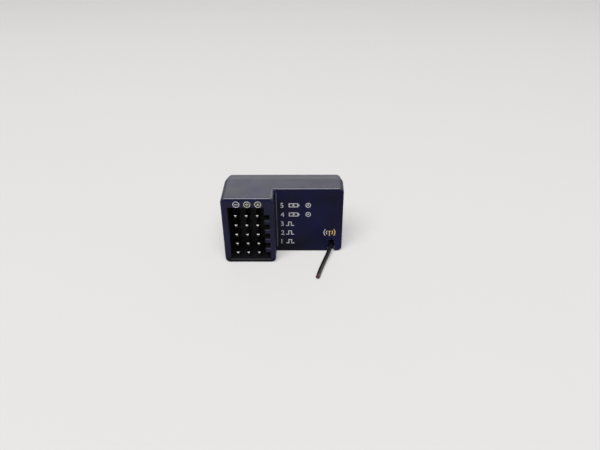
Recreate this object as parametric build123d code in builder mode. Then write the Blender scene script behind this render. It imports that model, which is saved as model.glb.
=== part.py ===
from build123d import *

import os
from math import atan, degrees, pi, radians, sin, tan

os.makedirs("parts", exist_ok=True)

# A small radio control receiver that stands on one long side.
# X runs along its length, Y from the pins at the front to the cover at the back, Z up.
# The origin is the middle of the housing's footprint. All sizes are in millimetres.

# Housing
length = 28.7  # over the parting line, where the case is longest
height = 17.6
depth = 12.8
block_width = 12.5  # the deep end that holds the pins
wing_depth = 5.0  # the thinner end, from its front face to the parting line
cover_depth = 3.0
end_draft = 1.5  # degrees, the short ends of the front shell
wall = 0.95
end_wall = 1.0
corner_radius = 1.2
edge_radius = 0.4
step_radius = 0.45  # in the corner between the block and the wing
seam_bevel = 0.08

# Rear cover
cover_floor = 1.0
cover_end_slope = 0.5  # how far each short end leans in over the cover's depth
cover_side_slope = 0.22
cover_edge_radius = 0.35

# Header
pitch = 2.54
pin_columns = 3
pin_width = 0.64
pin_point = 0.16
pin_recess = 0.6  # tips behind the block's face
tail_gap = 0.4  # from the pins' tails to the cover's floor
lowest_row = 2.25
header_inset = 5.9  # from the left end to the middle column
header_depth = 2.5
header_nick = 0.5
header_fit = 0.01

# Pin well
well_width = 8.35
well_below = 1.3  # below the lowest row
well_above = 2.6  # above the top row
well_roof = 2.0  # the least height of housing above the well
well_bevel = 0.15
key_height = 1.4
key_depth = 1.15
key_stop = 0.5  # the key notches end this far in front of the insulator

# Antenna slot
slot_inset = 2.75  # from the right end
slot_width = 1.35
slot_top = 3.25
slot_bevel = 0.2

# Circuit board
board_thickness = 1.0
board_lap = 0.2  # its front face lies this far in front of the parting line
board_gap = 0.2  # to the lower wall
board_top_gap = 0.8  # leaves room for the tongues
board_end_gap = 0.85
board_play = 0.15
board_corner = 0.3
pin_hole = 1.0
core_hole = 0.5
hole_sides = 12  # the small holes and the solder cones are drawn with flats

# Solder
solder_tip = 0.15  # bare end of each pin's tail
solder_base = 1.5
solder_top = 1.0
core_solder_height = 0.35
core_solder_base = 1.2
core_solder_top = 0.8

# Snap tongues of the cover
tongue_thickness = 0.6
tongue_reach = 2.2  # in front of the parting line
tongue_width = 5.0
tongue_bead = 0.3
tongue_bead_length = 0.9
tongue_play = 0.1
wing_tongue_x = 6.0
lower_tongue_x = 5.0

# Board seats and posts
seat_reach = 1.65
seat_height = 1.6
seat_gap = 0.1  # to the parts on the board
lower_seat_z = 4.8
upper_seat_inset = 2.4  # below the top
post_radius = 0.65
post_inset = 0.95
left_post_inset = 5.25  # right of the middle pin column
right_post_inset = 4.95  # from the right end

# Antenna wire
wire_diameter = 1.0
core_diameter = 0.4
strand_sides = 6  # six strands round a middle one
core_play = 0.02  # between the core and its sleeve
core_tail = 0.4  # behind the board
wire_points = [  # x is counted from the middle of the slot
    (0, 2.9, 1.95),
    (0, 0.6, 1.95),
    (-0.1, -1.9, 1.48),
    (-0.98, -4.5, 0.98),
    (-2.0, -7.4, 0.68),
    (-2.86, -10.2, 0.54),
    (-3.56, -12.93, 0.5),
]

# Leads and mould of the chips
lead_thickness = 0.15
lead_foot = 0.6
lead_rise = 0.2  # sideways run of the sloping part
lead_root = 0.3  # inside the body
chip_stand = 0.1
mould_draft = 7.0  # degrees, from the leads to the top

# Decoder
controller_length = 4.0
controller_width = 3.0
controller_height = 0.95
controller_pitch = 0.5
controller_lead_width = 0.22
controller_span = 4.9

# Regulator
regulator_length = 2.9
regulator_width = 1.6
regulator_height = 1.1
regulator_pitch = 0.95
regulator_lead_width = 0.4
regulator_span = 2.8

# Radio chip, leadless
radio_side = 4.0
radio_height = 0.8
radio_pad_pitch = 0.65
radio_pad_width = 0.3
radio_pad_length = 0.5
radio_pad_thickness = 0.05
radio_mark = 0.3

# Crystal
crystal_length = 2.5
crystal_width = 2.0
crystal_base = 0.3
crystal_can = 0.4
crystal_rim = 0.15
crystal_corner = 0.35

# Supply capacitor
supply_length = 3.2
supply_width = 1.6
supply_height = 1.6
supply_tab = 0.12
supply_tab_width = 1.2
supply_foot = 0.8

# Small chip parts
chip_length = 1.6
chip_width = 0.8
chip_end = 0.3
chip_end_thickness = 0.03
capacitor_height = 0.8
capacitor_count = 5  # side by side under the radio chip
resistor_height = 0.45
resistor_count = 4  # side by side on the back of the board

# Places worked out from the sizes above
left = -length / 2
right = length / 2
front = -depth / 2
back = depth / 2
shell_depth = depth - cover_depth
seam_y = front + shell_depth
step = shell_depth - wing_depth  # how far the block stands in front of the wing
block_right = left + block_width
pin_rows = 1 + int((height - lowest_row - well_above - well_roof) / pitch)  # as many as fit
header_x = left + header_inset
header_z = lowest_row + pitch * (pin_rows - 1) / 2
well_low = lowest_row - well_below
well_high = lowest_row + pitch * (pin_rows - 1) + well_above
well_right = header_x + well_width / 2
board_level = shell_depth - board_lap
board_back = board_level + board_thickness
cover_inside = depth - cover_floor
key_run = board_level - header_depth - key_stop
pin_end = cover_inside - tail_gap
solder_height = pin_end - solder_tip - board_back
upper_seat_z = height - upper_seat_inset
end_tongue_z = (lower_seat_z + upper_seat_z) / 2
inner_right = right - end_wall
board_left = left + end_wall + board_end_gap
board_right = inner_right - board_end_gap
board_low = wall + board_gap
board_high = height - wall - board_top_gap
board_width = board_right - board_left
board_height = board_high - board_low
board_x = (board_left + board_right) / 2
board_z = (board_low + board_high) / 2
pin_bore = pin_width + 2 * header_fit
slot_x = right - slot_inset
wire_route = [(slot_x + x, y, z) for x, y, z in wire_points]
core_x, core_z = wire_route[0][0], wire_route[0][2]
jacket_top = core_z + wire_diameter / 2


# Middles of pieces of these sizes, spread evenly between two limits.
def spread(low, high, sizes):
    gap = (high - low - sum(sizes)) / (len(sizes) + 1)
    return [
        low + gap * (count + 1) + sum(sizes[:count]) + size / 2
        for count, size in enumerate(sizes)
    ]


# The parts on the board's front stand in two columns between the block and the seats.
parts_right = inner_right - seat_reach - seat_gap
first_column, second_column = spread(block_right, parts_right, [controller_span, regulator_span])
capacitor_z, radio_z, controller_z = spread(
    wall + tongue_thickness + 2 * tongue_play,
    board_high,
    [chip_length, radio_side, controller_length],
)
regulator_z, crystal_z, supply_z, top_capacitor_z = spread(
    jacket_top,
    board_high,
    [regulator_length, crystal_width, supply_length, chip_width],
)
capacitor_places = [
    (x, capacitor_z, 90)
    for x in spread(
        first_column - controller_span / 2,
        first_column + controller_span / 2,
        [chip_width] * capacitor_count,
    )
]
capacitor_places.append((second_column, top_capacitor_z, 0))
resistor_places = [
    (x, board_z, 90) for x in spread(block_right, board_right, [chip_width] * resistor_count)
]


# Plane parallel to the front face at a distance behind it. Its normal points to the front.
def level(distance):
    return Plane.XZ.offset(-front - distance)


# Side view of a snap tongue: x towards the wall, y to the front from the parting line.
def tongue_profile(play):
    inner = -tongue_play - tongue_thickness - play
    outer = -tongue_play + play
    bead_back = tongue_reach - tongue_bead_length - play
    root = shell_depth - cover_inside - cover_floor / 4
    with BuildSketch(Plane.XY) as profile:
        with BuildLine():
            Polyline(
                (inner, root),
                (outer, root),
                (outer, bead_back),
                (outer + tongue_bead, bead_back + tongue_bead),
                (outer + tongue_bead, bead_back + 2 * tongue_bead),
                (outer, tongue_reach + play),
                (inner, tongue_reach + play),
                close=True,
            )
        make_face()
    return profile.sketch


# Each tongue lies inside a wall: x of its plane points at the wall, y to the front.
tongue_planes = [
    Plane((inner_right, seam_y, end_tongue_z), x_dir=(1, 0, 0), z_dir=(0, 0, -1)),
    Plane((header_x, seam_y, height - wall), x_dir=(0, 0, 1), z_dir=(1, 0, 0)),
    Plane((wing_tongue_x, seam_y, height - wall), x_dir=(0, 0, 1), z_dir=(1, 0, 0)),
    Plane((lower_tongue_x, seam_y, wall), x_dir=(0, 0, -1), z_dir=(-1, 0, 0)),
]

# Outline of the well: a rectangle with one key notch to the right of each row.
with BuildSketch(Plane.XY) as well_outline:
    with Locations((header_x, (well_low + well_high) / 2)):
        Rectangle(well_width, well_high - well_low)
    with Locations((well_right, header_z)):
        with GridLocations(0, pitch, 1, pin_rows):
            Rectangle(2 * key_depth, key_height)
    # the lowest notch runs down to the floor of the well
    with Locations((well_right, well_low)):
        Rectangle(key_depth, well_below, align=Align.MIN)

# Outline of the antenna slot, open at the resting side.
with BuildSketch(Plane.XY) as slot_outline:
    with Locations((slot_x, slot_top - slot_width / 2)):
        Circle(slot_width / 2)
        Rectangle(slot_width, 2 * slot_top, align=(Align.CENTER, Align.MAX))

# Deep end of the front shell, a prism with a drafted short end.
block_draft = shell_depth * tan(radians(end_draft))
with BuildPart() as block:
    with BuildSketch(Plane.XY):
        with BuildLine():
            Polyline(
                (left + block_draft, front),
                (block_right, front),
                (block_right, seam_y),
                (left, seam_y),
                close=True,
            )
        make_face()
    extrude(amount=height)
    fillet(block.edges().filter_by(lambda e: abs(e.tangent_at(0).Y) > 0.9), corner_radius)
    fillet(block.faces().sort_by(Axis.Y)[0].edges(), edge_radius)

# Thinner wing, its left end buried in the block.
wing_draft = (shell_depth - step) * tan(radians(end_draft))
wing_left = block_right - 2 * corner_radius
with BuildPart() as wing:
    with BuildSketch(Plane.XY):
        with BuildLine():
            Polyline(
                (wing_left, front + step),
                (right - wing_draft, front + step),
                (right, seam_y),
                (wing_left, seam_y),
                close=True,
            )
        make_face()
    extrude(amount=height)
    deep_edges = wing.edges().filter_by(lambda e: abs(e.tangent_at(0).Y) > 0.9)
    fillet(deep_edges.group_by(Axis.X)[-1], corner_radius)
    fillet(wing.faces().sort_by(Axis.Y)[0].edges().sort_by(Axis.X)[1:], edge_radius)

# Fillet in the corner between them: the block's outline flares out where it meets the wing,
# and only the part on the wing's face is kept.
with BuildPart() as step_fillet:
    with BuildSketch(level(step)):
        with Locations(((left + block_right) / 2, height / 2)):
            Rectangle(2 * block_width, 2 * height)
    extrude(amount=-edge_radius)
    with BuildSketch(level(step)):
        with Locations(((left + block_right) / 2, height / 2)):
            RectangleRounded(block_width, height, corner_radius)
    extrude(amount=2 * step_radius)
    wing_level = step_fillet.faces().filter_by(Axis.Y).sort_by(Axis.Y)[1]
    fillet(wing_level.inner_wires()[0].edges(), step_radius)
    with BuildSketch(level(step - step_radius)):
        with Locations((block_right - corner_radius, edge_radius)):
            Rectangle(
                corner_radius + step_radius,
                height - 2 * edge_radius,
                align=Align.MIN,
            )
    extrude(amount=-step_radius - edge_radius, mode=Mode.INTERSECT)

with BuildPart() as front_shell:
    add(block.part)
    add(wing.part)
    add(step_fillet.part)
    chamfer(front_shell.faces().sort_by(Axis.Y)[-1].edges(), seam_bevel)
    # hollow of the wing, open to the back
    with BuildSketch(level(shell_depth)):
        with Locations((block_right, wall)):
            Rectangle(inner_right - block_right, height - 2 * wall, align=Align.MIN)
    extrude(amount=shell_depth - step - wall, mode=Mode.SUBTRACT)
    # seats that the board rests on at the right end
    with BuildSketch(level(board_level)):
        for seat_z in (lower_seat_z, upper_seat_z):
            with Locations((inner_right + end_wall / 4, seat_z)):
                Rectangle(seat_reach + end_wall / 4, seat_height, align=(Align.MAX, Align.CENTER))
    extrude(amount=board_level - step - wall / 2)
    # shallow recess that centres the board
    with BuildSketch(level(shell_depth)):
        with Locations((board_x, board_z)):
            Rectangle(board_width + 2 * board_play, board_height + 2 * board_play)
    extrude(amount=shell_depth - board_level, mode=Mode.SUBTRACT)
    # pin well, right through to the board, with its key notches and a bevelled rim
    with BuildSketch(level(shell_depth)):
        with Locations((header_x, (well_low + well_high) / 2)):
            Rectangle(well_width, well_high - well_low)
    extrude(amount=shell_depth, mode=Mode.SUBTRACT)
    with BuildSketch(level(key_run)):
        add(well_outline.sketch)
    extrude(amount=key_run, mode=Mode.SUBTRACT)
    with BuildSketch(level(0)):
        offset(well_outline.sketch, amount=well_bevel, kind=Kind.INTERSECTION)
    extrude(amount=-well_bevel, taper=45, mode=Mode.SUBTRACT)
    # antenna slot through the front wall of the wing, with a bevelled mouth
    with BuildSketch(level(step + wall)):
        add(slot_outline.sketch)
    extrude(amount=wall + step / 2, mode=Mode.SUBTRACT)
    with BuildSketch(level(step)):
        offset(slot_outline.sketch, amount=slot_bevel)
    extrude(amount=-slot_bevel, taper=45, mode=Mode.SUBTRACT)
    # pockets for the cover's tongues
    for plane in tongue_planes:
        with BuildSketch(plane):
            add(tongue_profile(tongue_play))
        extrude(amount=tongue_width / 2 + tongue_play, both=True, mode=Mode.SUBTRACT)
front_shell.part.label = "front_shell"
export_step(front_shell.part, "parts/front_shell.step")

# Shallow lid: its plan and its side view are crossed, so that all four sides lean in.
with BuildPart() as rear_cover:
    with BuildSketch(Plane.XY):
        with BuildLine():
            Polyline(
                (left, seam_y),
                (right, seam_y),
                (right - cover_end_slope, back),
                (left + cover_end_slope, back),
                close=True,
            )
        make_face()
    extrude(amount=height)
    with BuildSketch(Plane.YZ):
        with BuildLine():
            Polyline(
                (seam_y, 0),
                (back, cover_side_slope),
                (back, height - cover_side_slope),
                (seam_y, height),
                close=True,
            )
        make_face()
    extrude(amount=length, both=True, mode=Mode.INTERSECT)
    fillet(rear_cover.edges().filter_by(lambda e: abs(e.tangent_at(0).Y) > 0.9), corner_radius)
    fillet(rear_cover.faces().sort_by(Axis.Y)[-1].edges(), cover_edge_radius)
    chamfer(rear_cover.faces().sort_by(Axis.Y)[0].edges(), seam_bevel)
    # hollow that follows the sloping sides
    hollow_share = (cover_inside - shell_depth) / cover_depth
    with BuildSketch(level(shell_depth)):
        with Locations((0, height / 2)):
            Rectangle(length - 2 * end_wall, height - 2 * wall)
    with BuildSketch(level(cover_inside)):
        with Locations((0, height / 2)):
            Rectangle(
                length - 2 * end_wall - 2 * cover_end_slope * hollow_share,
                height - 2 * wall - 2 * cover_side_slope * hollow_share,
            )
    loft(ruled=True, mode=Mode.SUBTRACT)
    # posts that hold the board down on its seats
    with BuildSketch(level(cover_inside)):
        with Locations(
            (board_left + post_inset, board_high - post_inset),
            (board_right - post_inset, board_high - post_inset),
            (header_x + left_post_inset, board_low + post_inset),
            (right - right_post_inset, board_low + post_inset),
        ):
            Circle(post_radius)
    extrude(amount=cover_inside - board_back)
    for plane in tongue_planes:
        with BuildSketch(plane):
            add(tongue_profile(0))
        extrude(amount=tongue_width / 2, both=True)
rear_cover.part.label = "rear_cover"
export_step(rear_cover.part, "parts/rear_cover.step")

with BuildPart() as circuit_board:
    with BuildSketch(level(board_back)):
        with Locations((board_x, board_z)):
            RectangleRounded(board_width, board_height, board_corner)
        with Locations((header_x, header_z)):
            with GridLocations(pitch, pitch, pin_columns, pin_rows):
                RegularPolygon(pin_hole / 2, hole_sides, mode=Mode.SUBTRACT)
        with Locations((core_x, core_z)):
            RegularPolygon(core_hole / 2, hole_sides, mode=Mode.SUBTRACT)
        # notch that lets the lower tongue pass
        with Locations((lower_tongue_x, wall + tongue_play + tongue_thickness + board_play)):
            Rectangle(
                tongue_width + 2 * board_play,
                tongue_thickness + tongue_play + board_play,
                align=(Align.CENTER, Align.MAX),
                mode=Mode.SUBTRACT,
            )
    extrude(amount=board_thickness)
circuit_board.part.label = "circuit_board"
export_step(circuit_board.part, "parts/circuit_board.step")

# Insulator of the header, with nicks between the positions.
with BuildPart() as header_block:
    with BuildSketch(level(board_level)):
        with Locations((header_x, header_z)):
            Rectangle(pitch * pin_columns, pitch * pin_rows)
            with GridLocations(pitch * pin_columns, pitch, 2, pin_rows + 1):
                Rectangle(header_nick, header_nick, rotation=45, mode=Mode.SUBTRACT)
            with GridLocations(pitch, pitch * pin_rows, pin_columns + 1, 2):
                Rectangle(header_nick, header_nick, rotation=45, mode=Mode.SUBTRACT)
            with GridLocations(pitch, pitch, pin_columns, pin_rows):
                Rectangle(pin_bore, pin_bore, mode=Mode.SUBTRACT)
    extrude(amount=header_depth)
header_block.part.label = "header_block"
export_step(header_block.part, "parts/header_block.step")

# Square pins with pointed ends, row 1 at the top and column 1 at the left.
for row in range(pin_rows):
    for column in range(pin_columns):
        pin_x = header_x + (column - (pin_columns - 1) / 2) * pitch
        pin_z = header_z + ((pin_rows - 1) / 2 - row) * pitch
        with BuildPart() as pin:
            with BuildSketch(level(pin_end)):
                with Locations((pin_x, pin_z)):
                    Rectangle(pin_width, pin_width)
            extrude(amount=pin_end - pin_recess)
            chamfer(pin.faces().filter_by(Axis.Y).edges(), pin_point)
        pin.part.label = f"pin_r{row + 1}_c{column + 1}"
        export_step(pin.part, f"parts/{pin.part.label}.step")

# Solder cones behind the board, each round its own pin.
with BuildPart() as header_solder:
    with BuildSketch(level(board_back)):
        with Locations((header_x, header_z)):
            with GridLocations(pitch, pitch, pin_columns, pin_rows):
                RegularPolygon(solder_base / 2, hole_sides)
    extrude(
        amount=-solder_height,
        taper=degrees(atan((solder_base - solder_top) / 2 / solder_height)),
    )
    with BuildSketch(level(board_back)):
        with Locations((header_x, header_z)):
            with GridLocations(pitch, pitch, pin_columns, pin_rows):
                Rectangle(pin_bore, pin_bore)
    extrude(amount=-solder_height, mode=Mode.SUBTRACT)
header_solder.part.label = "header_solder"
export_step(header_solder.part, "parts/header_solder.step")


# Moulded chip with gull-wing leads on both sides, its length along Z.
def leaded_chip(x, z, length, width, height, lead_pitch, lead_width, span):
    base_y = front + board_level
    middle = chip_stand + height / 2
    leads = round(length / lead_pitch)  # each side
    with BuildPart() as chip:
        with BuildSketch(level(board_level - middle)):
            with Locations((x, z)):
                Rectangle(width, length)
        extrude(amount=height / 2, both=True, taper=mould_draft)
        for spot in GridLocations(1, lead_pitch, 1, leads):
            lead_z = z + spot.position.Y
            with BuildSketch(Plane((x, base_y, lead_z), x_dir=(1, 0, 0), z_dir=(0, 0, -1))):
                with BuildLine():
                    Polyline(
                        (span / 2, 0),
                        (span / 2, lead_thickness),
                        (span / 2 - lead_foot, lead_thickness),
                        (span / 2 - lead_foot - lead_rise, middle + lead_thickness / 2),
                        (width / 2 - lead_root, middle + lead_thickness / 2),
                        (width / 2 - lead_root, middle - lead_thickness / 2),
                        (span / 2 - lead_foot - lead_rise - lead_thickness, middle - lead_thickness / 2),
                        (span / 2 - lead_foot - lead_thickness / 2, 0),
                        close=True,
                    )
                make_face()
                mirror(about=Plane.YZ)
            extrude(amount=lead_width / 2, both=True)
    return chip.part


controller_chip = leaded_chip(
    first_column,
    controller_z,
    controller_length,
    controller_width,
    controller_height,
    controller_pitch,
    controller_lead_width,
    controller_span,
)
controller_chip.label = "controller_chip"
export_step(controller_chip, "parts/controller_chip.step")

voltage_regulator = leaded_chip(
    second_column,
    regulator_z,
    regulator_length,
    regulator_width,
    regulator_height,
    regulator_pitch,
    regulator_lead_width,
    regulator_span,
)
voltage_regulator.label = "voltage_regulator"
export_step(voltage_regulator, "parts/voltage_regulator.step")

# Leadless radio chip on its solder pads.
radio_pads = int(radio_side / radio_pad_pitch) - 1  # each side
with BuildPart() as radio_chip:
    with BuildSketch(level(board_level - radio_pad_thickness)):
        with Locations((first_column, radio_z)):
            Rectangle(radio_side, radio_side)
    extrude(amount=radio_height)
    with BuildSketch(level(board_level)):
        with Locations((first_column, radio_z)):
            Rectangle(radio_side / 2, radio_side / 2)
            with GridLocations(radio_side - radio_pad_length, radio_pad_pitch, 2, radio_pads):
                Rectangle(radio_pad_length, radio_pad_width)
            with GridLocations(radio_pad_pitch, radio_side - radio_pad_length, radio_pads, 2):
                Rectangle(radio_pad_width, radio_pad_length)
    extrude(amount=radio_pad_thickness)
    # dimple at the first position
    with BuildSketch(level(board_level - radio_pad_thickness - radio_height)):
        with Locations((first_column - radio_side / 4, radio_z + radio_side / 4)):
            Circle(radio_mark)
    extrude(amount=-radio_pad_thickness, mode=Mode.SUBTRACT)
radio_chip.part.label = "radio_chip"
export_step(radio_chip.part, "parts/radio_chip.step")

# Crystal: a ceramic base with a metal can welded on.
with BuildPart() as crystal:
    with BuildSketch(level(board_level)):
        with Locations((second_column, crystal_z)):
            Rectangle(crystal_length, crystal_width)
    extrude(amount=crystal_base)
    with BuildSketch(level(board_level - crystal_base)):
        with Locations((second_column, crystal_z)):
            RectangleRounded(
                crystal_length - 2 * crystal_rim,
                crystal_width - 2 * crystal_rim,
                crystal_corner,
            )
    extrude(amount=crystal_can)
    chamfer(crystal.faces().sort_by(Axis.Y)[0].edges(), crystal_rim)
crystal.part.label = "crystal"
export_step(crystal.part, "parts/crystal.step")

# Moulded supply capacitor with a metal tab folded under each end.
with BuildPart() as supply_capacitor:
    with BuildSketch(level(board_level - supply_tab - supply_height / 2)):
        with Locations((second_column, supply_z)):
            Rectangle(supply_width, supply_length - 2 * supply_tab)
    extrude(amount=supply_height / 2, both=True, taper=mould_draft / 2)
    with BuildSketch(level(board_level)):
        with Locations((second_column, supply_z)):
            with GridLocations(1, supply_length - supply_foot, 1, 2):
                Rectangle(supply_tab_width, supply_foot)
    extrude(amount=supply_tab)
    with BuildSketch(level(board_level)):
        with Locations((second_column, supply_z)):
            with GridLocations(1, supply_length - 2 * supply_tab, 1, 2):
                Rectangle(supply_tab_width, 2 * supply_tab)
    extrude(amount=supply_tab + supply_height / 2)
supply_capacitor.part.label = "supply_capacitor"
export_step(supply_capacitor.part, "parts/supply_capacitor.step")

# Small chip parts: a plain body between two plated ends, placed by x, z and turn.
def small_chips(places, base, height):
    with BuildPart() as chips:
        for x, z, turn in places:
            with BuildSketch(level(base)):
                with Locations(Location((x, z), turn)):
                    with GridLocations(chip_length - chip_end, 1, 2, 1):
                        Rectangle(chip_end, chip_width)
            extrude(amount=height)
            with BuildSketch(level(base - chip_end_thickness)):
                with Locations(Location((x, z), turn)):
                    Rectangle(chip_length - chip_end, chip_width - 2 * chip_end_thickness)
            extrude(amount=height - 2 * chip_end_thickness)
    return chips.part


chip_capacitors = small_chips(capacitor_places, board_level, capacitor_height)
chip_capacitors.label = "chip_capacitors"
export_step(chip_capacitors, "parts/chip_capacitors.step")

chip_resistors = small_chips(resistor_places, board_back + resistor_height, resistor_height)
chip_resistors.label = "chip_resistors"
export_step(chip_resistors, "parts/chip_resistors.step")

# Antenna wire: each bend is as wide as its two runs allow.
runs = [Vector(*b) - Vector(*a) for a, b in zip(wire_route, wire_route[1:])]
turns = [a.get_angle(b) for a, b in zip(runs, runs[1:])]
bends = [
    0.45 * min(a.length, b.length) / tan(radians(turn / 2))
    for a, b, turn in zip(runs, runs[1:], turns)
]
print("bend radii of the wire", [round(bend, 1) for bend in bends])

with BuildPart() as antenna_jacket:
    with BuildLine():
        wire_line = FilletPolyline(*wire_route, radius=bends)
    with BuildSketch(Plane(wire_route[0], z_dir=runs[0])):
        Circle(wire_diameter / 2)
        RegularPolygon(core_diameter / 2 + core_play, strand_sides, mode=Mode.SUBTRACT)
    sweep()
antenna_jacket.part.label = "antenna_jacket"
export_step(antenna_jacket.part, "parts/antenna_jacket.step")

# The copper core runs on, bare, through the board.
core_start = (core_x, front + board_back + core_tail, core_z)
with BuildPart() as antenna_core:
    with BuildLine():
        FilletPolyline(core_start, *wire_route[1:], radius=bends)
    with BuildSketch(Plane(core_start, z_dir=runs[0])):
        RegularPolygon(core_diameter / 2, strand_sides)
    sweep()
antenna_core.part.label = "antenna_core"
export_step(antenna_core.part, "parts/antenna_core.step")

with BuildPart() as antenna_solder:
    with BuildSketch(level(board_back)):
        with Locations((core_x, core_z)):
            RegularPolygon(core_solder_base / 2, hole_sides)
    extrude(
        amount=-core_solder_height,
        taper=degrees(atan((core_solder_base - core_solder_top) / 2 / core_solder_height)),
    )
    with BuildSketch(level(board_back)):
        with Locations((core_x, core_z)):
            RegularPolygon(core_diameter / 2 + core_play, hole_sides)
    extrude(amount=-core_solder_height, mode=Mode.SUBTRACT)
antenna_solder.part.label = "antenna_solder"
export_step(antenna_solder.part, "parts/antenna_solder.step")

bore_area = strand_sides / 2 * (core_diameter / 2 + core_play) ** 2 * sin(2 * pi / strand_sides)
wire_area = pi * wire_diameter**2 / 4 - bore_area
print("wire length", round(wire_line.length, 2))
print("wire length by volume", round(antenna_jacket.part.volume / wire_area, 2))
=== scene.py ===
import math

import bmesh
import bpy
from mathutils import Matrix, Vector


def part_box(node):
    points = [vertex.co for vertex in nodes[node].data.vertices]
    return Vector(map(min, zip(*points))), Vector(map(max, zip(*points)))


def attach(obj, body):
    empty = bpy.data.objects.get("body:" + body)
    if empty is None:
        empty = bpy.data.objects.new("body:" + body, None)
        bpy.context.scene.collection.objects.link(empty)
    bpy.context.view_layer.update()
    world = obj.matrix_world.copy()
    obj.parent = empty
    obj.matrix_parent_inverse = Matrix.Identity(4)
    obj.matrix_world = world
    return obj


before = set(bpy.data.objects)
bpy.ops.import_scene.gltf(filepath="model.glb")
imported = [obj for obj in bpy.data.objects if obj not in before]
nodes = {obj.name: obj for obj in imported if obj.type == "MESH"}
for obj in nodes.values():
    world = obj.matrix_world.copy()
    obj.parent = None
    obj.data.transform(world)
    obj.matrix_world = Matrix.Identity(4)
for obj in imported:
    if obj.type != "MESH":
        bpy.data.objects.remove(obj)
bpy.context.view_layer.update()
mm = 0.001
print("frame loaded:", len(nodes), "nodes")


# Places and sizes given in millimetres, as metres
def inMm(*values):
    return tuple(value * mm for value in values)


# Front faces that carry the print: the block's is the foremost, and right of x = 0 the wing's is
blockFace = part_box("front_shell")[0].y
wingFace = min(v.co.y for v in nodes["front_shell"].data.vertices if v.co.x > 0)

# Camera, solved from the photograph: place in metres, angles in degrees
cameraSetting = dict(
    place=(0.004948, -0.104643, 0.070394),
    elevation=31.340,
    turn=0.581,
    roll=-0.373,
    focusPixels=497.4,
    frameWidth=600,
    sensor=36.0,
    nearest=0.002,
)


def makeCamera(setting):
    elevation, turn, roll = (math.radians(setting[k]) for k in ("elevation", "turn", "roll"))
    back = Vector(
        (
            math.sin(turn) * math.cos(elevation),
            -math.cos(turn) * math.cos(elevation),
            math.sin(elevation),
        )
    )
    level = Vector((math.cos(turn), math.sin(turn), 0))
    upright = back.cross(level)
    right = math.cos(roll) * level + math.sin(roll) * upright
    up = math.cos(roll) * upright - math.sin(roll) * level
    data = bpy.data.cameras.new("camera")
    data.sensor_fit = "HORIZONTAL"
    data.sensor_width = setting["sensor"]
    data.lens = setting["focusPixels"] / setting["frameWidth"] * setting["sensor"]
    data.clip_start = setting["nearest"]
    camera = bpy.data.objects.new("camera", data)
    bpy.context.scene.collection.objects.link(camera)
    turned = Matrix((right, up, back)).transposed().to_4x4()
    camera.matrix_world = Matrix.Translation(setting["place"]) @ turned
    bpy.context.scene.camera = camera


makeCamera(cameraSetting)
bpy.context.scene.view_settings.view_transform = "Standard"
print("camera placed")

# Lamps: place, target and size in metres, brightness as the radiance of the lamp's face
lampSetting = dict(
    key=dict(place=(-0.14, -0.80, 1.36), aim=(0, 0, 0.01), size=(1.4, 0.96), radiance=6.6),
    behind=dict(
        place=(0.0, 0.56, 0.44), aim=(0, 0, 0.01), size=(0.9, 0.36), radiance=4.4, diffuse=False
    ),
)
paleColour = (0.80, 0.79, 0.785)  # the backdrop, and what the table shows in its shadows
roomLight = dict(colour=(0.98, 0.99, 1.0), strength=0.18, seen=paleColour)


def softBox(name, place, aim, size, radiance, diffuse=True):
    data = bpy.data.lights.new(name, "AREA")
    data.shape = "RECTANGLE"
    data.size, data.size_y = size
    data.energy = math.pi * size[0] * size[1] * radiance
    lamp = bpy.data.objects.new(name, data)
    bpy.context.scene.collection.objects.link(lamp)
    back = (Vector(place) - Vector(aim)).normalized()
    lamp.matrix_world = Matrix.Translation(place) @ back.to_track_quat("Z", "Y").to_matrix().to_4x4()
    lamp.visible_camera = False
    lamp.visible_diffuse = diffuse


for lampName, lampValues in lampSetting.items():
    softBox(lampName, **lampValues)
print("lamps set:", len(lampSetting))


# Sets a node's inputs, each to a value or to another node's output
def setInputs(tree, node, values):
    for socket, value in values.items():
        if isinstance(value, bpy.types.NodeSocket):
            tree.links.new(value, node.inputs[socket])
        else:
            node.inputs[socket].default_value = value


def addNode(tree, kind, values=None, **options):
    node = tree.nodes.new(kind)
    for option, value in options.items():
        setattr(node, option, value)
    setInputs(tree, node, values or {})
    return node


def addMath(tree, operation, first, second):
    step = addNode(tree, "ShaderNodeMath", {0: first, 1: second}, operation=operation)
    return step.outputs["Value"]


# 1 for rays that come from the camera, a reflection or glass, and 0 for the rest
def seenRays(tree):
    path = addNode(tree, "ShaderNodeLightPath").outputs
    shine = addMath(tree, "MAXIMUM", path["Is Glossy Ray"], path["Is Transmission Ray"])
    return addMath(tree, "MAXIMUM", path["Is Camera Ray"], shine)


def mixSurfaces(tree, share, first, second, out):
    mix = addNode(
        tree, "ShaderNodeMixShader", {"Fac": share, 1: first.outputs[0], 2: second.outputs[0]}
    )
    setInputs(tree, out, {"Surface": mix.outputs[0]})


def makeWorld(setting):
    world = bpy.data.worlds.new("room")
    bpy.context.scene.world = world
    world.use_nodes = True
    tree = world.node_tree
    tree.nodes.clear()
    light, seen = (
        addNode(tree, "ShaderNodeBackground", {"Color": (*colour, 1), "Strength": strength})
        for colour, strength in ((setting["colour"], setting["strength"]), (setting["seen"], 1))
    )
    mixSurfaces(tree, seenRays(tree), light, seen, addNode(tree, "ShaderNodeOutputWorld"))


makeWorld(roomLight)
print("room lit")


# Shared effects, each a node group
def newGroup(name, inputs, outputs):
    group = bpy.data.node_groups.new(name, "ShaderNodeTree")
    for socketName, kind, value in inputs:
        socket = group.interface.new_socket(socketName, in_out="INPUT", socket_type=kind)
        socket.default_value = value
    for socketName, kind in outputs:
        group.interface.new_socket(socketName, in_out="OUTPUT", socket_type=kind)
    start = addNode(group, "NodeGroupInput").outputs
    end = addNode(group, "NodeGroupOutput")
    place = addNode(group, "ShaderNodeTexCoord").outputs
    return group, start, end, place


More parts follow.
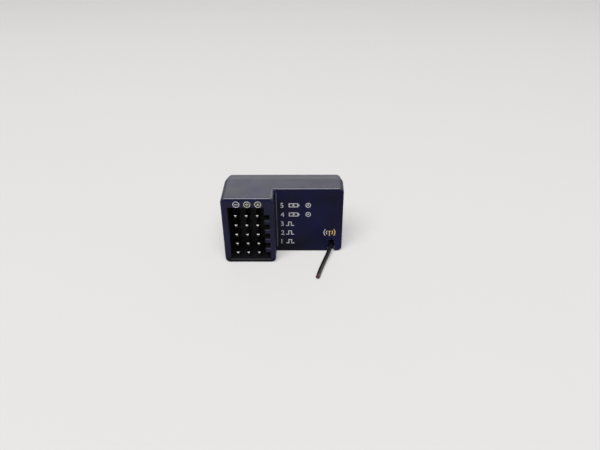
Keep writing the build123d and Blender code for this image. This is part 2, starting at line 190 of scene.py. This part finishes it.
# Soft clouds between two colours, as in moulded plastic whose dye isn't quite even
def makeClouds():
    group, start, end, place = newGroup(
        "softClouds",
        [
            ("First Colour", "NodeSocketColor", (0, 0, 0, 1)),
            ("Second Colour", "NodeSocketColor", (1, 1, 1, 1)),
            ("Scale", "NodeSocketFloat", 100.0),
            ("Low", "NodeSocketFloat", 0.4),
            ("High", "NodeSocketFloat", 0.65),
        ],
        [("Colour", "NodeSocketColor")],
    )
    noise = addNode(
        group,
        "ShaderNodeTexNoise",
        {"Vector": place["Object"], "Scale": start["Scale"], "Detail": 3, "Roughness": 0.55},
    )
    spread = addNode(
        group,
        "ShaderNodeMapRange",
        {"Value": noise.outputs["Fac"], "From Min": start["Low"], "From Max": start["High"]},
    )
    mix = addNode(
        group,
        "ShaderNodeMix",
        {
            "Factor": spread.outputs["Result"],
            "A": start["First Colour"],
            "B": start["Second Colour"],
        },
        data_type="RGBA",
    )
    setInputs(group, end, {"Colour": mix.outputs["Result"]})
    return group


# Fine grain for a bump, and a roughness that drifts over the surface
def makeGrain():
    group, start, end, place = newGroup(
        "fineGrain",
        [
            ("Scale", "NodeSocketFloat", 8000.0),
            ("Drift Scale", "NodeSocketFloat", 300.0),
            ("Smooth", "NodeSocketFloat", 0.3),
            ("Rough", "NodeSocketFloat", 0.4),
        ],
        [("Height", "NodeSocketFloat"), ("Roughness", "NodeSocketFloat")],
    )
    grain, drift = (
        addNode(
            group,
            "ShaderNodeTexNoise",
            {"Vector": place["Object"], "Scale": start[scale], "Detail": detail},
        )
        for scale, detail in (("Scale", 2), ("Drift Scale", 4))
    )
    spread = addNode(
        group,
        "ShaderNodeMapRange",
        {
            "Value": drift.outputs["Fac"],
            "From Min": 0.3,
            "From Max": 0.7,
            "To Min": start["Smooth"],
            "To Max": start["Rough"],
        },
    )
    setInputs(group, end, {"Height": grain.outputs["Fac"], "Roughness": spread.outputs["Result"]})
    return group


# A mask for the worn, shinier rims at the top, whose normals lie between front and up
def makeRimShine():
    group, start, end, place = newGroup(
        "rimShine",
        [("Strength", "NodeSocketFloat", 1.0), ("Above", "NodeSocketFloat", 16.8 * mm)],
        [("Coat", "NodeSocketFloat")],
    )
    normal, spot = (
        addNode(group, "ShaderNodeSeparateXYZ", {"Vector": place[kind]}).outputs
        for kind in ("Normal", "Object")
    )
    slant = addMath(group, "MULTIPLY", normal["Y"], normal["Z"])
    spread = addNode(
        group,
        "ShaderNodeMapRange",
        {"Value": slant, "From Min": -0.06, "From Max": -0.4, "To Max": start["Strength"]},
    )
    high = addMath(group, "GREATER_THAN", spot["Z"], start["Above"])
    coat = addMath(group, "MULTIPLY", spread.outputs["Result"], high)
    setInputs(group, end, {"Coat": coat})
    return group


boxInputs = [
    ("Centre", "NodeSocketVector", (0, 0, 0)),
    ("Half Size", "NodeSocketVector", inMm(10, 10, 10)),
    ("Softness", "NodeSocketFloat", 0.01),
]


# 1 inside a box on Object coordinates and 0 outside it, with soft or hard sides
def boxTest(group, start, place):
    offset = place["Object"]
    for operation, other in (("SUBTRACT", "Centre"), ("ABSOLUTE", None), ("DIVIDE", "Half Size")):
        values = {0: offset, 1: start[other]} if other else {0: offset}
        step = addNode(group, "ShaderNodeVectorMath", values, operation=operation)
        offset = step.outputs["Vector"]
    parts = addNode(group, "ShaderNodeSeparateXYZ", {"Vector": offset}).outputs
    farthest = addMath(group, "MAXIMUM", parts["X"], parts["Y"])
    farthest = addMath(group, "MAXIMUM", farthest, parts["Z"])
    depth = addMath(group, "SUBTRACT", 1, farthest)
    fade = addNode(group, "ShaderNodeMapRange", {"Value": depth, "From Max": start["Softness"]})
    return fade.outputs["Result"]


# A mask for one place on a piece, such as the inside of the well where shade is painted
def makeBoxMask():
    group, start, end, place = newGroup("boxMask", boxInputs, [("Mask", "NodeSocketFloat")])
    setInputs(group, end, {"Mask": boxTest(group, start, place)})
    return group


# Shine on the edges inside a box whose normals lean away from one axis
def makeEdgeShine():
    group, start, end, place = newGroup(
        "edgeShine",
        [("Strength", "NodeSocketFloat", 1.0), ("Axis", "NodeSocketVector", (0, 1, 0))] + boxInputs,
        [("Coat", "NodeSocketFloat")],
    )
    facing = addNode(
        group,
        "ShaderNodeVectorMath",
        {0: place["Normal"], 1: start["Axis"]},
        operation="DOT_PRODUCT",
    ).outputs["Value"]
    square = addMath(group, "MULTIPLY", facing, facing)
    lean = addMath(group, "MULTIPLY", square, addMath(group, "SUBTRACT", 1, square))
    spread = addNode(
        group,
        "ShaderNodeMapRange",
        {"Value": lean, "From Min": 0.05, "From Max": 0.22, "To Max": start["Strength"]},
    )
    coat = addMath(group, "MULTIPLY", spread.outputs["Result"], boxTest(group, start, place))
    setInputs(group, end, {"Coat": coat})
    return group


clouds = makeClouds()
grain = makeGrain()
rimShine = makeRimShine()
boxMask = makeBoxMask()
edgeShine = makeEdgeShine()
rimGloss = {"Coat Roughness": 0.2, "Coat IOR": 1.9}


def addGroup(tree, group, values):
    return addNode(tree, "ShaderNodeGroup", values, node_tree=group)


def addClouds(tree, colours, scale, clouding):
    first, second = ((*colour, 1) for colour in colours)
    values = {"First Colour": first, "Second Colour": second, "Scale": scale}
    values["Low"], values["High"] = clouding
    return addGroup(tree, clouds, values).outputs["Colour"]


# The rims' coat, and where it is stronger the coat of each edge in its box
def addCoat(tree, rimCoat, shinyEdges):
    coat = addGroup(tree, rimShine, {"Strength": rimCoat}).outputs["Coat"]
    for edge in shinyEdges:
        values = {
            "Strength": edge["strength"],
            "Axis": edge["axis"],
            "Centre": edge["centre"],
            "Half Size": edge["halfSize"],
        }
        coat = addMath(tree, "MAXIMUM", coat, addGroup(tree, edgeShine, values).outputs["Coat"])
    return coat


# Clouds over the whole surface, and clouds of their own colours in each patch; on the housing the
# patches are painted shade and a painted sheen
def addColour(tree, colours, cloudScale, clouding, patches):
    colour = addClouds(tree, colours, cloudScale, clouding)
    for patch in patches:
        values = {
            "Centre": patch["centre"],
            "Half Size": patch["halfSize"],
            "Softness": patch["softness"],
        }
        area = addGroup(tree, boxMask, values).outputs["Mask"]
        shades = addClouds(tree, patch["colours"], cloudScale, clouding)
        cover = addNode(
            tree, "ShaderNodeMix", {"Factor": area, "A": colour, "B": shades}, data_type="RGBA"
        )
        colour = cover.outputs["Result"]
    return colour


# A finish with clouds of two colours, drifting roughness and a grain
def makeFinish(
    name,
    colours,
    cloudScale,
    roughness,
    grainScale,
    grainDepth,
    driftScale=300.0,
    clouding=(0.4, 0.65),
    metallic=0.0,
    specular=0.5,
    rimCoat=0.0,
    shinyEdges=(),
    patches=(),
):
    material = bpy.data.materials.new(name)
    material.use_nodes = True
    tree = material.node_tree
    shader = tree.nodes["Principled BSDF"]
    setInputs(tree, shader, {"Metallic": metallic, "Specular IOR Level": specular})
    if rimCoat:
        setInputs(tree, shader, rimGloss)
        setInputs(tree, shader, {"Coat Weight": addCoat(tree, rimCoat, shinyEdges)})
    smooth, rough = roughness
    texture = addGroup(
        tree,
        grain,
        {"Scale": grainScale, "Drift Scale": driftScale, "Smooth": smooth, "Rough": rough},
    ).outputs
    bump = addNode(tree, "ShaderNodeBump", {"Distance": grainDepth, "Height": texture["Height"]})
    look = {
        "Base Color": addColour(tree, colours, cloudScale, clouding, patches),
        "Roughness": texture["Roughness"],
        "Normal": bump.outputs["Normal"],
    }
    setInputs(tree, shader, look)
    return material


# Edges with a coat of their own: the axis is what their normals lean away from
cornerEdge = dict(
    strength=0.7,
    axis=(0, 1, 0),
    centre=inMm(-1.55, -1.85, 9.0),
    halfSize=inMm(0.42, 0.42, 7.6),
)
slotEdge = dict(
    strength=1.0,
    axis=(0, 1, 0),
    centre=inMm(11.6, -1.45, 2.0),
    halfSize=inMm(1.0, 0.3, 1.7),
)
stepEdge = dict(
    strength=0.42,
    axis=(0, 0, 1),
    centre=inMm(-2.4, -4.0, 17.0),
    halfSize=inMm(0.8, 2.3, 0.8),
)

# Patches with colours of their own, those on the housing being painted shade and a painted sheen:
# softness is the share of the box that fades
hardSides = 0.01
# Painted shade: near-black inside the well, where its walls and floor lie in shade
wellPaintedShade = dict(
    centre=inMm(-7.85, -1.2, 7.98),
    halfSize=inMm(4.85, 5.0, 7.1),
    softness=hardSides,
    colours=((0.0080, 0.0080, 0.0090), (0.0095, 0.0095, 0.0105)),
)
# Painted sheen: the block's front face a little lighter and greyer, standing in for a reflection on
# it
blockFrontPaintedSheen = dict(
    centre=inMm(-8.1, -6.4, 8.9),
    halfSize=inMm(6.6, 0.38, 8.0),
    softness=0.06,
    colours=((0.010, 0.0095, 0.024), (0.015, 0.0142, 0.044)),
)
# Painted shade: a darker band on the lip below the well
lipPaintedShade = dict(
    centre=inMm(-8.1, -6.4, 0.4),
    halfSize=inMm(6.6, 0.38, 0.9),
    softness=0.3,
    colours=((0.0014, 0.0012, 0.0035), (0.0020, 0.0018, 0.0060)),
)
# Painted shade: the wing's face fades darker towards its lower left, standing in for the block's
# shadow reflected in it
wingPaintedShade = dict(
    centre=inMm(1.0, -1.6, 1.0),
    halfSize=inMm(10.0, 2.0, 5.0),
    softness=1.0,
    colours=((0.0012, 0.0010, 0.0030), (0.0016, 0.0014, 0.0045)),
)
wireEnd = dict(
    centre=inMm(0, -13.1, 0),
    halfSize=inMm(30, 0.8, 30),
    softness=hardSides,
    colours=((0.062, 0.031, 0.031), (0.045, 0.024, 0.024)),
)
pinTips = dict(
    centre=inMm(0, -5.75, 0),
    halfSize=inMm(30, 0.12, 30),
    softness=hardSides,
    colours=((0.115, 0.112, 0.108), (0.098, 0.095, 0.092)),
)

# Finishes: colours are linear, scales per metre, depths in metres
finishes = dict(
    housingPlastic=dict(
        colours=((0.0038, 0.0037, 0.0170), (0.0048, 0.0066, 0.0400)),
        cloudScale=110,
        clouding=(0.36, 0.70),
        roughness=(0.30, 0.38),
        grainScale=9000,
        grainDepth=3e-6,
        specular=0.1,
        rimCoat=0.53,
        shinyEdges=(cornerEdge, slotEdge, stepEdge),
        # The housing's patches paint shade on the wing, the lip and inside the well, and a sheen on
        # the block's front
        patches=(wingPaintedShade, blockFrontPaintedSheen, lipPaintedShade, wellPaintedShade),
    ),
    coverPlastic=dict(
        colours=((0.0040, 0.0041, 0.0170), (0.0050, 0.0066, 0.0350)),
        cloudScale=90,
        clouding=(0.36, 0.70),
        roughness=(0.32, 0.40),
        grainScale=9000,
        grainDepth=3e-6,
        specular=0.21,
        rimCoat=0.15,
    ),
    headerPlastic=dict(
        colours=((0.0110, 0.0110, 0.0114), (0.0150, 0.0150, 0.0156)),
        cloudScale=500,
        roughness=(0.5, 0.6),
        grainScale=7000,
        grainDepth=4e-6,
        specular=0.15,
    ),
    pinMetal=dict(
        colours=((0.15, 0.147, 0.143), (0.11, 0.108, 0.105)),
        cloudScale=2500,
        roughness=(0.22, 0.30),
        grainScale=12000,
        grainDepth=1e-6,
        driftScale=2500.0,
        metallic=1.0,
        patches=(pinTips,),
    ),
    solderMetal=dict(
        colours=((0.62, 0.62, 0.63), (0.46, 0.46, 0.48)),
        cloudScale=1800,
        roughness=(0.24, 0.42),
        grainScale=6000,
        grainDepth=4e-6,
        metallic=1.0,
    ),
    boardMask=dict(
        colours=((0.006, 0.055, 0.022), (0.012, 0.095, 0.040)),
        cloudScale=900,
        roughness=(0.25, 0.35),
        grainScale=5000,
        grainDepth=4e-6,
        clouding=(0.5, 0.53),
    ),
    chipPlastic=dict(
        colours=((0.012, 0.012, 0.013), (0.020, 0.020, 0.021)),
        cloudScale=2000,
        roughness=(0.5, 0.62),
        grainScale=14000,
        grainDepth=4e-6,
    ),
    crystalCan=dict(
        colours=((0.70, 0.69, 0.66), (0.60, 0.59, 0.57)),
        cloudScale=1500,
        roughness=(0.24, 0.32),
        grainScale=9000,
        grainDepth=1e-6,
        metallic=1.0,
    ),
    tantalumResin=dict(
        colours=((0.52, 0.25, 0.03), (0.44, 0.20, 0.02)),
        cloudScale=1500,
        roughness=(0.35, 0.45),
        grainScale=9000,
        grainDepth=3e-6,
    ),
    ceramicBody=dict(
        colours=((0.30, 0.20, 0.12), (0.24, 0.16, 0.09)),
        cloudScale=2500,
        roughness=(0.35, 0.45),
        grainScale=9000,
        grainDepth=3e-6,
    ),
    resistorBody=dict(
        colours=((0.02, 0.02, 0.024), (0.04, 0.04, 0.045)),
        cloudScale=2500,
        roughness=(0.25, 0.35),
        grainScale=9000,
        grainDepth=2e-6,
    ),
    wireJacket=dict(
        colours=((0.0030, 0.0030, 0.0034), (0.006, 0.006, 0.0065)),
        cloudScale=900,
        roughness=(0.28, 0.40),
        grainScale=5000,
        grainDepth=6e-6,
        specular=0.45,
        patches=(wireEnd,),
    ),
    copperStrand=dict(
        colours=((0.20, 0.095, 0.080), (0.13, 0.060, 0.055)),
        cloudScale=4000,
        roughness=(0.3, 0.45),
        grainScale=20000,
        grainDepth=2e-6,
        metallic=0.6,
    ),
    whiteInk=dict(
        colours=((0.50, 0.50, 0.53), (0.38, 0.38, 0.42)),
        cloudScale=2200,
        roughness=(0.5, 0.65),
        grainScale=15000,
        grainDepth=2e-6,
        specular=0.3,
    ),
    creamInk=dict(
        colours=((0.46, 0.45, 0.36), (0.36, 0.35, 0.28)),
        cloudScale=2200,
        roughness=(0.5, 0.65),
        grainScale=15000,
        grainDepth=2e-6,
        specular=0.3,
    ),
    goldInk=dict(
        colours=((0.62, 0.46, 0.16), (0.50, 0.36, 0.11)),
        cloudScale=2200,
        roughness=(0.45, 0.6),
        grainScale=15000,
        grainDepth=2e-6,
        specular=0.3,
    ),
    tableTop=dict(
        colours=((0.800, 0.785, 0.775), (0.790, 0.777, 0.768)),
        cloudScale=6,
        roughness=(0.75, 0.85),
        grainScale=1500,
        grainDepth=5e-6,
        specular=0.1,
    ),
)
finish = {name: makeFinish(name, **values) for name, values in finishes.items()}


# Lets the table show part of the pale colour, so that its shadows stay light
def liftShadows(material, share, colour):
    tree = material.node_tree
    pale = addNode(tree, "ShaderNodeEmission", {"Color": (*colour, 1)})
    part = addMath(tree, "MULTIPLY", seenRays(tree), share)
    mixSurfaces(tree, part, tree.nodes["Principled BSDF"], pale, tree.nodes["Material Output"])


liftShadows(finish["tableTop"], share=0.3, colour=paleColour)
print("finishes made:", len(finish))

nodeFinish = dict(
    front_shell="housingPlastic",
    rear_cover="coverPlastic",
    header_block="headerPlastic",
    header_solder="solderMetal",
    antenna_solder="solderMetal",
    circuit_board="boardMask",
    controller_chip="chipPlastic",
    radio_chip="chipPlastic",
    voltage_regulator="chipPlastic",
    crystal="crystalCan",
    supply_capacitor="tantalumResin",
    chip_capacitors="ceramicBody",
    chip_resistors="resistorBody",
    antenna_jacket="wireJacket",
    antenna_core="copperStrand",
    **{name: "pinMetal" for name in nodes if name.startswith("pin_")},
)
for nodeName, finishName in nodeFinish.items():
    node = nodes[nodeName]
    if not node.material_slots:
        node.data.materials.append(finish[finishName])
    for materialSlot in node.material_slots:
        materialSlot.material = finish[finishName]
print("housing, header and board dressed")


# A bmesh as an object of its own, in one finish
def makeObject(bm, name, finishName):
    mesh = bpy.data.meshes.new(name)
    bm.to_mesh(mesh)
    bm.free()
    mesh.materials.append(finish[finishName])
    made = bpy.data.objects.new(name, mesh)
    bpy.context.scene.collection.objects.link(made)
    return made


# Turns a bmesh into a piece that rides on the object
def makePiece(bm, name, finishName):
    bmesh.ops.recalc_face_normals(bm, faces=bm.faces)
    piece = makeObject(bm, name, finishName)
    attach(piece, "root")


# Print: flat shapes are drawn in x and z on a face, then given the ink's thickness
ink = dict(lift=0.002 * mm, thickness=0.012 * mm)


def inkPiece(bm, name, faceY, finishName):
    upright = Matrix.Rotation(math.radians(90), 3, "X")
    bmesh.ops.rotate(bm, cent=(0, 0, 0), matrix=upright, verts=bm.verts)
    bmesh.ops.recalc_face_normals(bm, faces=bm.faces)
    grown = bmesh.ops.extrude_face_region(bm, geom=list(bm.faces), use_keep_orig=True)
    raised = [v for v in grown["geom"] if isinstance(v, bmesh.types.BMVert)]
    bmesh.ops.translate(bm, vec=(0, -ink["thickness"], 0), verts=raised)
    bmesh.ops.translate(bm, vec=(0, faceY - ink["lift"], 0), verts=bm.verts)
    makePiece(bm, name, finishName)


# A flat polygon from its corners, in metres
def plate(bm, corners):
    bm.faces.new([bm.verts.new((x, z, 0)) for x, z in corners])


def rectangle(x, z, width, height):
    w, h = width / 2, height / 2
    return [(x - w, z - h), (x + w, z - h), (x + w, z + h), (x - w, z + h)]


def bar(bm, x, z, width, height):
    plate(bm, rectangle(x, z, width, height))


# Part of a flat ring round a point, from one angle to another in degrees
def arcBand(bm, x, z, outer, inner, fromAngle=0, toAngle=360, steps=48):
    a = math.radians(fromAngle)
    ends = [bm.verts.new((x + r * math.cos(a), z + r * math.sin(a), 0)) for r in (inner, outer)]
    bmesh.ops.spin(
        bm,
        geom=ends + [bm.edges.new(ends)],
        cent=(x, z, 0),
        axis=(0, 0, 1),
        angle=math.radians(toAngle - fromAngle),
        steps=steps,
        use_merge=toAngle - fromAngle >= 360,
    )


# Three ringed signs over the columns of pins
polarity = dict(
    firstX=-10.52 * mm,
    z=15.96 * mm,
    pitch=2.47 * mm,
    outer=0.79 * mm,
    line=0.18 * mm,
    sign=0.40 * mm,
    signLine=0.17 * mm,
)


def minusSign(bm, x, z, reach, line):
    bar(bm, x, z, 2 * reach, line)


def plusSign(bm, x, z, reach, line):
    h = line / 2
    quarter = [(h, reach), (h, h), (reach, h)]
    corners = []
    for turn in range(4):
        a = -math.radians(90 * turn)
        corners += [
            (x + px * math.cos(a) - pz * math.sin(a), z + px * math.sin(a) + pz * math.cos(a))
            for px, pz in quarter
        ]
    plate(bm, corners)


# One square pulse between two low lines: height and width as shares of the reach
pulse = dict(halfHeight=0.6, halfWidth=0.45)


def pulseSign(bm, x, z, reach, line):
    foot, top = z - reach * pulse["halfHeight"], z + reach * pulse["halfHeight"]
    half = reach * pulse["halfWidth"]
    plate(
        bm,
        [
            (x - reach, foot),
            (x - half + line, foot),
            (x - half + line, top - line),
            (x + half - line, top - line),
            (x + half - line, foot),
            (x + reach, foot),
            (x + reach, foot + line),
            (x + half, foot + line),
            (x + half, top),
            (x - half, top),
            (x - half, foot + line),
            (x - reach, foot + line),
        ],
    )


polarityMarks = [
    ("minusMark", minusSign, "whiteInk"),
    ("plusMark", plusSign, "creamInk"),
    ("pulseMark", pulseSign, "creamInk"),
]
for number, (signName, drawSign, inkName) in enumerate(polarityMarks):
    bm = bmesh.new()
    signX = polarity["firstX"] + number * polarity["pitch"]
    arcBand(bm, signX, polarity["z"], polarity["outer"], polarity["outer"] - polarity["line"])
    drawSign(bm, signX, polarity["z"], polarity["sign"], polarity["signLine"])
    inkPiece(bm, signName, blockFace, inkName)
print("polarity marks printed")

# Port rows on the wing, from the top: a plain number and signs in plain shapes
ports = dict(
    left=-0.72 * mm,
    rowMiddles=inMm(13.1, 10.6, 8.0, 5.5, 2.95),
    height=1.27 * mm,
    line=0.2 * mm,
    supplyRows=2,
    batteryOffset=3.1 * mm,
    fanOffset=6.6 * mm,
    fanSize=1.02,  # the fan's and the pulse's sizes are shares of the height
    pulseOffset=2.2 * mm,
    pulseSize=0.78,
)


# A number as a flat mesh, its foot at z and its left side at x
def drawNumber(bm, text, x, z, height):
    curve = bpy.data.curves.new("number", "FONT")
    curve.body = text
    curve.size = 1
    curve.resolution_u = 4
    carrier = bpy.data.objects.new("number", curve)
    bpy.context.scene.collection.objects.link(carrier)
    bpy.context.view_layer.update()
    flat = bpy.data.meshes.new_from_object(carrier)
    bpy.data.objects.remove(carrier)
    bpy.data.curves.remove(curve)
    lowX, lowY = (min(v.co[axis] for v in flat.vertices) for axis in (0, 1))
    highY = max(v.co.y for v in flat.vertices)
    size = height / (highY - lowY)
    flat.transform(
        Matrix.Translation((x, z, 0)) @ Matrix.Scale(size, 4) @ Matrix.Translation((-lowX, -lowY, 0))
    )
    bm.from_mesh(flat)
    bpy.data.meshes.remove(flat)


# Battery: the case and its plus as shares of the height, the rest as shares of the line
battery = dict(halfWidth=0.88, halfHeight=0.42, plusReach=0.21, plusLine=0.9, capGap=0.75)


# Outline of a battery lying on its side, with a plus in it
def batterySign(bm, x, z, height, line):
    w, h = height * battery["halfWidth"], height * battery["halfHeight"]
    outer = rectangle(x, z, 2 * w, 2 * h)
    inner = rectangle(x, z, 2 * (w - line), 2 * (h - line))
    for side in range(4):
        plate(bm, [outer[side - 1], outer[side], inner[side], inner[side - 1]])
    bmesh.ops.remove_doubles(bm, verts=bm.verts, dist=0.001 * mm)
    bar(bm, x + w + line * battery["capGap"], z, line, h)
    plusSign(bm, x, z, height * battery["plusReach"], line * battery["plusLine"])


# Fan: the ring and the gap as shares of the line, the blades as shares of the room inside
fan = dict(ring=0.9, gap=1.6, blades=3, bladeRadius=0.48, bladeWidth=0.55, bladePlace=0.56)


# A ring with blades round a hub
def fanSign(bm, x, z, height, line):
    arcBand(bm, x, z, height / 2, height / 2 - line * fan["ring"])
    reach = height / 2 - line * fan["gap"]
    for blade in range(fan["blades"]):
        made = bmesh.ops.create_circle(
            bm, cap_ends=True, segments=16, radius=reach * fan["bladeRadius"]
        )["verts"]
        bmesh.ops.scale(bm, vec=(1, fan["bladeWidth"], 1), verts=made)
        bmesh.ops.translate(bm, vec=(reach * fan["bladePlace"], 0, 0), verts=made)
        turn = Matrix.Rotation(math.radians(90 + 360 / fan["blades"] * blade), 3, "Z")
        bmesh.ops.rotate(bm, cent=(0, 0, 0), matrix=turn, verts=made)
        bmesh.ops.translate(bm, vec=(x, z, 0), verts=made)


def portRow(row, middle, setting):
    portNumber = len(setting["rowMiddles"]) - row
    left, height, line = setting["left"], setting["height"], setting["line"]
    bm = bmesh.new()
    drawNumber(bm, str(portNumber), left, middle - height / 2, height)
    if row < setting["supplyRows"]:
        batterySign(bm, left + setting["batteryOffset"], middle, height, line)
        fanSign(bm, left + setting["fanOffset"], middle, height * setting["fanSize"], line)
    else:
        pulseSign(bm, left + setting["pulseOffset"], middle, height * setting["pulseSize"], line)
    inkPiece(bm, f"portMark{portNumber}", wingFace, "whiteInk")


for row, rowMiddle in enumerate(ports["rowMiddles"]):
    portRow(row, rowMiddle, ports)
print("port marks printed")

# Aerial sign above the wire's slot: a mast with a dot on it, and waves to both sides
aerial = dict(
    x=11.1 * mm,
    z=5.2 * mm,
    mast=1.7 * mm,
    mastShown=0.75,  # this and the head's rise are shares of the mast
    headRise=0.18,
    line=0.2 * mm,
    dotRadius=1.15,  # this and the dot's rise are shares of the line
    dotRise=1.5,
    waves=inMm(0.85, 1.45),
    waveAngle=42,
)
waveSides = [("aerialWavesLeft", "whiteInk", 180), ("aerialWavesRight", "goldInk", 0)]


def aerialSign(setting):
    x, z, line, lean = setting["x"], setting["z"], setting["line"], setting["waveAngle"]
    head = z + setting["mast"] * setting["headRise"]
    for name, inkName, side in waveSides:
        bm = bmesh.new()
        for wave in setting["waves"]:
            arcBand(bm, x, head, wave, wave - line, side - lean, side + lean, steps=14)
        inkPiece(bm, name, wingFace, inkName)
    bm = bmesh.new()
    bar(bm, x, z - line / 2, line, setting["mast"] * setting["mastShown"])
    dot = bmesh.ops.create_circle(
        bm, cap_ends=True, segments=20, radius=line * setting["dotRadius"]
    )["verts"]
    bmesh.ops.translate(bm, vec=(x, head + line * setting["dotRise"], 0), verts=dot)
    inkPiece(bm, "aerialMast", wingFace, "goldInk")


aerialSign(aerial)
print("aerial sign printed")

# Copper strands at the wire's cut end: one in the middle and the rest round it
strands = dict(
    count=7,
    spacing=0.135 * mm,
    radius=0.066 * mm,
    reach=0.36 * mm,
    unevenness=0.25,  # a share of the reach
    phase=2.3,  # how the unevenness turns from strand to strand, in radians
    buried=0.25 * mm,
    bevel=0.35,  # a share of the radius
)
cutFace = dict(facing=-0.5, depth=0.6 * mm)  # how far round and how far in the cut face goes


# Middle of the jacket's cut face, and the way it looks
def cutEnd():
    jacket = nodes["antenna_jacket"].data
    deepest = min(v.co.y for v in jacket.vertices) + cutFace["depth"]
    ends = [p for p in jacket.polygons if p.normal.y < cutFace["facing"] and p.center.y < deepest]
    area = sum(p.area for p in ends)
    middle = sum((p.center * p.area for p in ends), Vector()) / area
    along = sum((p.normal * p.area for p in ends), Vector()).normalized()
    return middle, along


def makeStrands(setting, end, along):
    bm = bmesh.new()
    radius, buried = setting["radius"], setting["buried"]
    for number in range(setting["count"]):
        turn = math.radians(360 / (setting["count"] - 1) * number)
        off = setting["spacing"] if number else 0
        longer = setting["unevenness"] * math.sin(setting["phase"] * number)
        reach = setting["reach"] * (1 + longer)
        made = bmesh.ops.create_cone(
            bm, cap_ends=True, segments=14, radius1=radius, radius2=radius, depth=reach + buried
        )["verts"]
        top = [v for v in made if v.co.z > 0]
        rim = [e for e in bm.edges if all(v in top for v in e.verts)]
        middle = (off * math.cos(turn), off * math.sin(turn), (reach - buried) / 2)
        bmesh.ops.translate(bm, vec=middle, verts=made)
        bmesh.ops.bevel(
            bm,
            geom=rim,
            offset=radius * setting["bevel"],
            affect="EDGES",
            segments=2,
            profile=0.5,
            material=-1,
        )
    turned = along.to_track_quat("Z", "Y").to_matrix().to_4x4()
    bmesh.ops.transform(bm, matrix=Matrix.Translation(end) @ turned, verts=bm.verts)
    makePiece(bm, "strandEnds", "copperStrand")


makeStrands(strands, *cutEnd())
print("strands made")

# Table: a pale disc that the object stands on
table = dict(radius=1.0, segments=128)
bm = bmesh.new()
bmesh.ops.create_circle(bm, cap_ends=True, **table)
makeObject(bm, "table", "tableTop")
print("table laid")

print("done")
